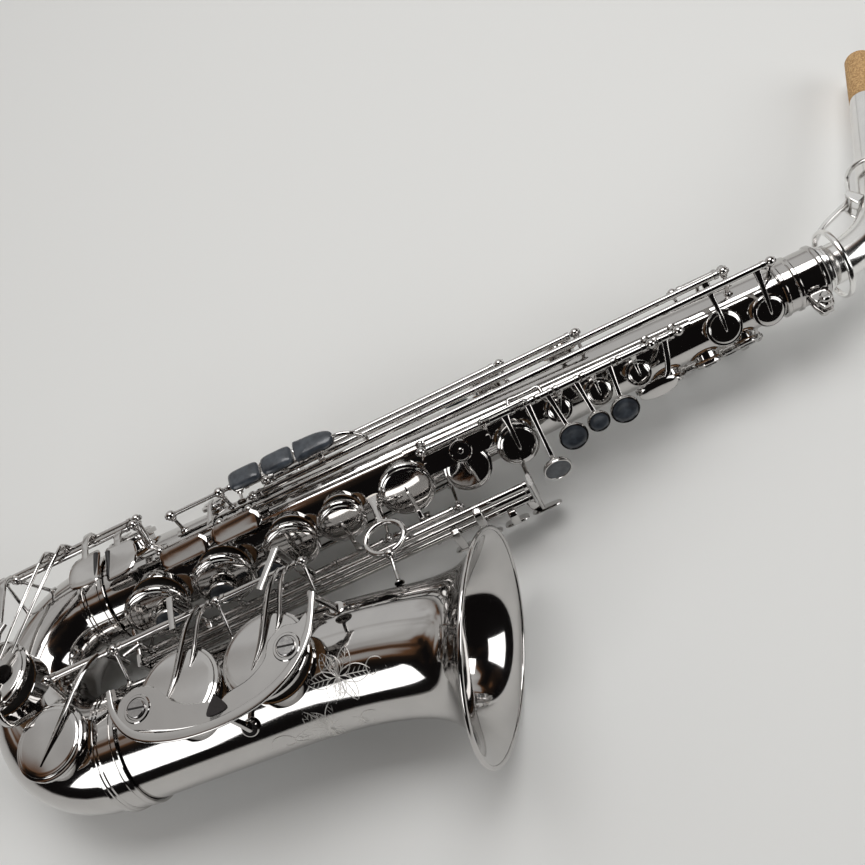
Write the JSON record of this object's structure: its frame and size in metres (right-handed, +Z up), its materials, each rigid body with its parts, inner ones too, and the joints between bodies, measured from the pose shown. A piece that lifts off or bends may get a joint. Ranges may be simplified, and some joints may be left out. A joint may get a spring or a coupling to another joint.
{
  "type": "alto saxophone",
  "caption": "Black nickel alto saxophone lying on its side, with a silver neck, a cork tip, hinged key cups and touches, rods, posts, guards and a flared bell.",
  "frame": {"origin": "centre of the bottom of the bounding box, on the surface that the instrument lies on", "axes": "+X up the body towards the neck, +Z up with the player's left side down, +Y to the back of the instrument"},
  "size_m": [0.6546, 0.311, 0.1222],
  "materials": {
    "black_nickel": "brass plated in polished black nickel",
    "silver_plate": "brass plated in polished silver",
    "cork": "natural cork, sanded"
  },
  "bodies": {
    "body": {"body_tube": "black_nickel", "bow": "black_nickel", "bell": "black_nickel", "body_bow_ring": "black_nickel", "bow_bell_ring": "black_nickel", "lower_stack_rib": "black_nickel", "upper_stack_rib": "black_nickel", "high_fsharp_rib": "black_nickel", "palm_key_rib": "black_nickel", "octave_rib": "black_nickel", "side_key_rib": "black_nickel", "table_rod_carrier": "black_nickel", "low_rod_carrier": "black_nickel", "bell_key_rib": "black_nickel", "bell_key_guard": "black_nickel", "low_c_guard": "black_nickel", "bell_brace": "black_nickel", "medallion_bar": "black_nickel", "thumb_hook": "black_nickel", "thumb_rest": "black_nickel", "strap_ring": "black_nickel", "neck_clamp": "black_nickel"},
    "neck": {"neck_tube": "silver_plate", "neck_cork": "cork", "neck_tenon": "silver_plate"},
    "neck_octave_key": {"neck_octave_key": "silver_plate"},
    "clamp_screw": {"clamp_screw": "black_nickel"},
    "d_key": {"d_key": "black_nickel"},
    "e_key": {"e_key": "black_nickel"},
    "f_key": {"f_key": "black_nickel"},
    "fsharp_key": {"fsharp_key": "black_nickel"},
    "gsharp_key": {"gsharp_key": "black_nickel"},
    "g_key": {"g_key": "black_nickel"},
    "a_key": {"a_key": "black_nickel"},
    "bis_key": {"bis_key": "black_nickel"},
    "b_key": {"b_key": "black_nickel"},
    "c_key": {"c_key": "black_nickel"},
    "front_f_key": {"front_f_key": "black_nickel"},
    "side_bb_key": {"side_bb_key": "black_nickel"},
    "side_c_key": {"side_c_key": "black_nickel"},
    "high_e_key": {"high_e_key": "black_nickel"},
    "high_fsharp_key": {"high_fsharp_key": "black_nickel"},
    "high_fsharp_touch": {"high_fsharp_touch": "black_nickel"},
    "fsharp_trill_key": {"fsharp_trill_key": "black_nickel"},
    "palm_d_key": {"palm_d_key": "black_nickel"},
    "palm_eb_key": {"palm_eb_key": "black_nickel"},
    "palm_f_key": {"palm_f_key": "black_nickel"},
    "low_b_key": {"low_b_key": "black_nickel"},
    "low_bb_key": {"low_bb_key": "black_nickel"},
    "low_csharp_key": {"low_csharp_key": "black_nickel"},
    "low_c_key": {"low_c_key": "black_nickel"},
    "low_eb_key": {"low_eb_key": "black_nickel"},
    "csharp_touch": {"csharp_touch": "black_nickel"},
    "low_b_touch": {"low_b_touch": "black_nickel"},
    "low_bb_touch": {"low_bb_touch": "black_nickel"},
    "gsharp_touch": {"gsharp_touch": "black_nickel"},
    "octave_lever": {"octave_lever": "black_nickel"},
    "body_octave_key": {"body_octave_key": "black_nickel"}
  },
  "joints": [
    {"name": "neck_swivel", "type": "hinge", "parent": "body", "child": "neck", "pos_m": [0.21602, 0.02189, 0.0439], "axis": [0.9995, 0, 0.0307], "range_deg": [-30, 30]},
    {"name": "neck_octave_key_hinge", "type": "hinge", "parent": "neck", "child": "neck_octave_key", "pos_m": [0.25521, 0.05569, 0.03817], "axis": [0.0301, -0.201, -0.9791], "range_deg": [0, 4.5], "stiffness_Nm_per_rad": 0.12, "springref_deg": -20.05},
    {"name": "clamp_screw_hinge", "type": "hinge", "parent": "body", "child": "clamp_screw", "pos_m": [0.20789, 0.00083, 0.04797], "axis": [-0.0301, 0.201, 0.9791], "range_deg": [-90, 90]},
    {"name": "d_key_hinge", "type": "hinge", "parent": "body", "child": "d_key", "pos_m": [0.2159, -0.01663, 0.04772], "axis": [-0.9995, 0, -0.0307], "range_deg": [0, 15], "stiffness_Nm_per_rad": 0.12, "springref_deg": -20.05},
    {"name": "e_key_hinge", "type": "hinge", "parent": "body", "child": "e_key", "pos_m": [0.2159, -0.01663, 0.04772], "axis": [-0.9995, 0, -0.0307], "range_deg": [0, 15], "stiffness_Nm_per_rad": 0.12, "springref_deg": -20.05},
    {"name": "f_key_hinge", "type": "hinge", "parent": "body", "child": "f_key", "pos_m": [0.2159, -0.01663, 0.04772], "axis": [-0.9995, 0, -0.0307], "range_deg": [0, 15], "stiffness_Nm_per_rad": 0.12, "springref_deg": -20.05},
    {"name": "fsharp_key_hinge", "type": "hinge", "parent": "body", "child": "fsharp_key", "pos_m": [0.2159, -0.01663, 0.04772], "axis": [-0.9995, 0, -0.0307], "range_deg": [0, 15], "stiffness_Nm_per_rad": 0.12, "springref_deg": -20.05},
    {"name": "gsharp_key_hinge", "type": "hinge", "parent": "body", "child": "gsharp_key", "pos_m": [0.2159, -0.01663, 0.04772], "axis": [0.9995, 0, 0.0307], "range_deg": [0, 12], "stiffness_Nm_per_rad": 0.12, "springref_deg": -20.05},
    {"name": "g_key_hinge", "type": "hinge", "parent": "body", "child": "g_key", "pos_m": [0.21509, 0.013, 0.07419], "axis": [0.9995, 0, 0.0307], "range_deg": [0, 14], "stiffness_Nm_per_rad": 0.12, "springref_deg": -20.05},
    {"name": "a_key_hinge", "type": "hinge", "parent": "body", "child": "a_key", "pos_m": [0.21509, 0.013, 0.07419], "axis": [0.9995, 0, 0.0307], "range_deg": [0, 12], "stiffness_Nm_per_rad": 0.12, "springref_deg": -20.05},
    {"name": "bis_key_hinge", "type": "hinge", "parent": "body", "child": "bis_key", "pos_m": [0.21509, 0.013, 0.07419], "axis": [0.9995, 0, 0.0307], "range_deg": [0, 9], "stiffness_Nm_per_rad": 0.12, "springref_deg": -20.05},
    {"name": "b_key_hinge", "type": "hinge", "parent": "body", "child": "b_key", "pos_m": [0.21509, 0.013, 0.07419], "axis": [0.9995, 0, 0.0307], "range_deg": [0, 10], "stiffness_Nm_per_rad": 0.12, "springref_deg": -20.05},
    {"name": "c_key_hinge", "type": "hinge", "parent": "body", "child": "c_key", "pos_m": [0.21509, 0.013, 0.07419], "axis": [0.9995, 0, 0.0307], "range_deg": [0, 10], "stiffness_Nm_per_rad": 0.12, "springref_deg": -20.05},
    {"name": "front_f_key_hinge", "type": "hinge", "parent": "body", "child": "front_f_key", "pos_m": [0.21509, 0.013, 0.07419], "axis": [0.9995, 0, 0.0307], "range_deg": [0, 7], "stiffness_Nm_per_rad": 0.12, "springref_deg": -20.05},
    {"name": "side_bb_key_hinge", "type": "hinge", "parent": "body", "child": "side_bb_key", "pos_m": [0.21542, 0.0468, 0.06328], "axis": [0.9995, 0, 0.0307], "range_deg": [0, 10], "stiffness_Nm_per_rad": 0.144, "springref_deg": -20.05},
    {"name": "side_c_key_hinge", "type": "hinge", "parent": "body", "child": "side_c_key", "pos_m": [0.21526, 0.04123, 0.0685], "axis": [0.9995, 0, 0.0307], "range_deg": [0, 10], "stiffness_Nm_per_rad": 0.144, "springref_deg": -20.05},
    {"name": "high_e_key_hinge", "type": "hinge", "parent": "body", "child": "high_e_key", "pos_m": [0.21512, 0.034, 0.07305], "axis": [-0.9995, 0, -0.0307], "range_deg": [0, 10], "stiffness_Nm_per_rad": 0.18, "springref_deg": -20.05},
    {"name": "high_fsharp_key_hinge", "type": "hinge", "parent": "body", "child": "high_fsharp_key", "pos_m": [0.21503, 0.02598, 0.07622], "axis": [-0.9995, 0, -0.0307], "range_deg": [0, 10], "stiffness_Nm_per_rad": 0.12, "springref_deg": -20.05},
    {"name": "high_fsharp_touch_hinge", "type": "hinge", "parent": "body", "child": "high_fsharp_touch", "pos_m": [0.21503, 0.02598, 0.07622], "axis": [0.9995, 0, 0.0307], "range_deg": [0, 8], "stiffness_Nm_per_rad": 0.12, "springref_deg": -20.05},
    {"name": "fsharp_trill_key_hinge", "type": "hinge", "parent": "body", "child": "fsharp_trill_key", "pos_m": [0.21503, 0.02598, 0.07622], "axis": [0.9995, 0, 0.0307], "range_deg": [0, 8], "stiffness_Nm_per_rad": 0.12, "springref_deg": -20.05},
    {"name": "palm_d_key_hinge", "type": "hinge", "parent": "body", "child": "palm_d_key", "pos_m": [0.21679, 0.01059, 0.01867], "axis": [0.9995, 0, 0.0307], "range_deg": [0, 12], "stiffness_Nm_per_rad": 0.12, "springref_deg": -20.05},
    {"name": "palm_eb_key_hinge", "type": "hinge", "parent": "body", "child": "palm_eb_key", "pos_m": [0.21679, 0.01059, 0.01867], "axis": [0.9995, 0, 0.0307], "range_deg": [0, 12], "stiffness_Nm_per_rad": 0.12, "springref_deg": -20.05},
    {"name": "palm_f_key_hinge", "type": "hinge", "parent": "body", "child": "palm_f_key", "pos_m": [0.21679, 0.01059, 0.01867], "axis": [0.9995, 0, 0.0307], "range_deg": [0, 12], "stiffness_Nm_per_rad": 0.12, "springref_deg": -20.05},
    {"name": "low_b_key_hinge", "type": "hinge", "parent": "body", "child": "low_b_key", "pos_m": [0.21467, -0.02015, 0.08772], "axis": [0.9995, 0, 0.0307], "range_deg": [0, 8], "stiffness_Nm_per_rad": 0.168, "springref_deg": -20.05},
    {"name": "low_bb_key_hinge", "type": "hinge", "parent": "body", "child": "low_bb_key", "pos_m": [0.21467, -0.02015, 0.08772], "axis": [0.9995, 0, 0.0307], "range_deg": [0, 8], "stiffness_Nm_per_rad": 0.168, "springref_deg": -20.05},
    {"name": "low_csharp_key_hinge", "type": "hinge", "parent": "body", "child": "low_csharp_key", "pos_m": [0.21467, -0.02015, 0.08772], "axis": [-0.9995, 0, -0.0307], "range_deg": [0, 9], "stiffness_Nm_per_rad": 0.144, "springref_deg": -20.05},
    {"name": "low_c_key_hinge", "type": "hinge", "parent": "body", "child": "low_c_key", "pos_m": [0.21508, 0.05264, 0.07433], "axis": [0.9995, 0, 0.0307], "range_deg": [0, 6.5], "stiffness_Nm_per_rad": 0.168, "springref_deg": -20.05},
    {"name": "low_eb_key_hinge", "type": "hinge", "parent": "body", "child": "low_eb_key", "pos_m": [0.21491, 0.04718, 0.08004], "axis": [0.9995, 0, 0.0307], "range_deg": [0, 7], "stiffness_Nm_per_rad": 0.144, "springref_deg": -20.05},
    {"name": "csharp_touch_hinge", "type": "hinge", "parent": "body", "child": "csharp_touch", "pos_m": [0.21612, -0.02725, 0.04071], "axis": [0.9995, 0, 0.0307], "range_deg": [0, 6], "stiffness_Nm_per_rad": 0.192, "springref_deg": -20.05},
    {"name": "low_b_touch_hinge", "type": "hinge", "parent": "body", "child": "low_b_touch", "pos_m": [0.21564, -0.02404, 0.05638], "axis": [0.9995, 0, 0.0307], "range_deg": [0, 6], "stiffness_Nm_per_rad": 0.192, "springref_deg": -20.05},
    {"name": "low_bb_touch_hinge", "type": "hinge", "parent": "body", "child": "low_bb_touch", "pos_m": [0.21588, -0.02564, 0.04855], "axis": [0.9995, 0, 0.0307], "range_deg": [0, 6], "stiffness_Nm_per_rad": 0.192, "springref_deg": -20.05},
    {"name": "gsharp_touch_hinge", "type": "hinge", "parent": "body", "child": "gsharp_touch", "pos_m": [0.21638, -0.02494, 0.03208], "axis": [0.9995, 0, 0.0307], "range_deg": [0, 6.5], "stiffness_Nm_per_rad": 0.12, "springref_deg": -20.05},
    {"name": "octave_lever_hinge", "type": "hinge", "parent": "body", "child": "octave_lever", "pos_m": [0.21659, 0.04259, 0.02537], "axis": [-0.9995, 0, -0.0307], "range_deg": [0, 8], "stiffness_Nm_per_rad": 0.12, "springref_deg": -20.05},
    {"name": "body_octave_key_hinge", "type": "hinge", "parent": "body", "child": "body_octave_key", "pos_m": [0.21582, 0.04565, 0.05025], "axis": [0.9995, 0, 0.0307], "range_deg": [0, 14], "stiffness_Nm_per_rad": 0.12, "springref_deg": -20.05}
  ],
  "couplings": [
    {"joint": "gsharp_key_hinge", "follows": "gsharp_touch_hinge", "ratio": 1.8461},
    {"joint": "low_csharp_key_hinge", "follows": "csharp_touch_hinge", "ratio": 1.5},
    {"joint": "low_b_key_hinge", "follows": "low_b_touch_hinge", "ratio": 1.3333},
    {"joint": "low_bb_key_hinge", "follows": "low_bb_touch_hinge", "ratio": 1.3333},
    {"joint": "high_fsharp_key_hinge", "follows": "high_fsharp_touch_hinge", "ratio": 1.25},
    {"joint": "neck_octave_key_hinge", "follows": "octave_lever_hinge", "ratio": 0.5625},
    {"joint": "fsharp_key_hinge", "follows": "f_key_hinge", "ratio": 1},
    {"joint": "c_key_hinge", "follows": "b_key_hinge", "ratio": 1}
  ]
}
